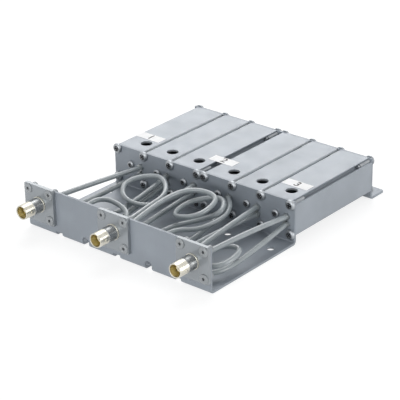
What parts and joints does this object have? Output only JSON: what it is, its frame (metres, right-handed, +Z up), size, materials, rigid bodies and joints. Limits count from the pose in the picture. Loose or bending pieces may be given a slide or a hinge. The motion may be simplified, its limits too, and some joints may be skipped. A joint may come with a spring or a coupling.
{
  "type": "mobile cavity duplexer",
  "caption": "Flat mobile radio duplexer: screwed cavity blocks on a folded tray, BNC sockets on the front panel and looped coaxial jumpers between sockets and cells.",
  "frame": {"origin": "centre of the base: middle of the width and of the length from socket mouths to foot, at the level of the floor", "axes": "+X to the right seen from the sockets, +Y from the sockets to the foot, +Z up"},
  "size_m": [0.1548, 0.204, 0.0325],
  "materials": {
    "sheet": "pale blue-grey paint, satin",
    "extrusion": "pale blue-grey paint, satin",
    "flange": "grey paint, satin",
    "nickel": "nickel plated, bright",
    "dielectric": "white PTFE",
    "gold": "gold plated",
    "label": "white adhesive label",
    "rivet": "grey paint over aluminium",
    "screw": "zinc plated",
    "ferrule": "tin plated",
    "rod": "silver plated",
    "ceramic": "plain ceramic",
    "rotor": "bare brass",
    "cable": "grey jacket, slightly glossy"
  },
  "bodies": {
    "chassis": {"tray": "sheet", "cavity_block_low": "extrusion", "cavity_block_high": "extrusion", "rear_bracket": "sheet", "connector_plate_1": "flange", "bnc_shell_1": "nickel", "bnc_insulator_1": "dielectric", "bnc_contact_1": "gold", "label_1": "label", "connector_plate_2": "flange", "bnc_shell_2": "nickel", "bnc_insulator_2": "dielectric", "bnc_contact_2": "gold", "label_2": "label", "connector_plate_3": "flange", "bnc_shell_3": "nickel", "bnc_insulator_3": "dielectric", "bnc_contact_3": "gold", "label_3": "label", "plate_rivets": "rivet", "front_screws": "screw", "rear_screws": "screw", "resonator_screws": "screw", "cable_ferrules": "ferrule", "resonator_1": "rod", "trimmer_body_1": "ceramic", "resonator_2": "rod", "trimmer_body_2": "ceramic", "resonator_3": "rod", "trimmer_body_3": "ceramic", "resonator_4": "rod", "trimmer_body_4": "ceramic", "resonator_5": "rod", "trimmer_body_5": "ceramic", "resonator_6": "rod", "trimmer_body_6": "ceramic", "coax_1": "cable", "coax_2": "cable", "coax_3": "cable", "coax_4": "cable", "coax_5": "cable", "coax_6": "cable", "coax_7": "cable", "coax_8": "cable"},
    "rotor_1": {"trimmer_rotor_1": "rotor"},
    "rotor_2": {"trimmer_rotor_2": "rotor"},
    "rotor_3": {"trimmer_rotor_3": "rotor"},
    "rotor_4": {"trimmer_rotor_4": "rotor"},
    "rotor_5": {"trimmer_rotor_5": "rotor"},
    "rotor_6": {"trimmer_rotor_6": "rotor"}
  },
  "joints": [
    {"name": "trim_1", "type": "hinge", "parent": "chassis", "child": "rotor_1", "pos_m": [-0.0595, 0.01355, 0.0255], "axis": [0, 0, 1], "continuous": true},
    {"name": "trim_2", "type": "hinge", "parent": "chassis", "child": "rotor_2", "pos_m": [-0.0359, 0.01355, 0.0255], "axis": [0, 0, 1], "continuous": true},
    {"name": "trim_3", "type": "hinge", "parent": "chassis", "child": "rotor_3", "pos_m": [-0.0123, 0.01355, 0.0255], "axis": [0, 0, 1], "continuous": true},
    {"name": "trim_4", "type": "hinge", "parent": "chassis", "child": "rotor_4", "pos_m": [0.0175, 0.01355, 0.0255], "axis": [0, 0, 1], "continuous": true},
    {"name": "trim_5", "type": "hinge", "parent": "chassis", "child": "rotor_5", "pos_m": [0.0411, 0.01355, 0.0255], "axis": [0, 0, 1], "continuous": true},
    {"name": "trim_6", "type": "hinge", "parent": "chassis", "child": "rotor_6", "pos_m": [0.0647, 0.01355, 0.0255], "axis": [0, 0, 1], "continuous": true}
  ]
}
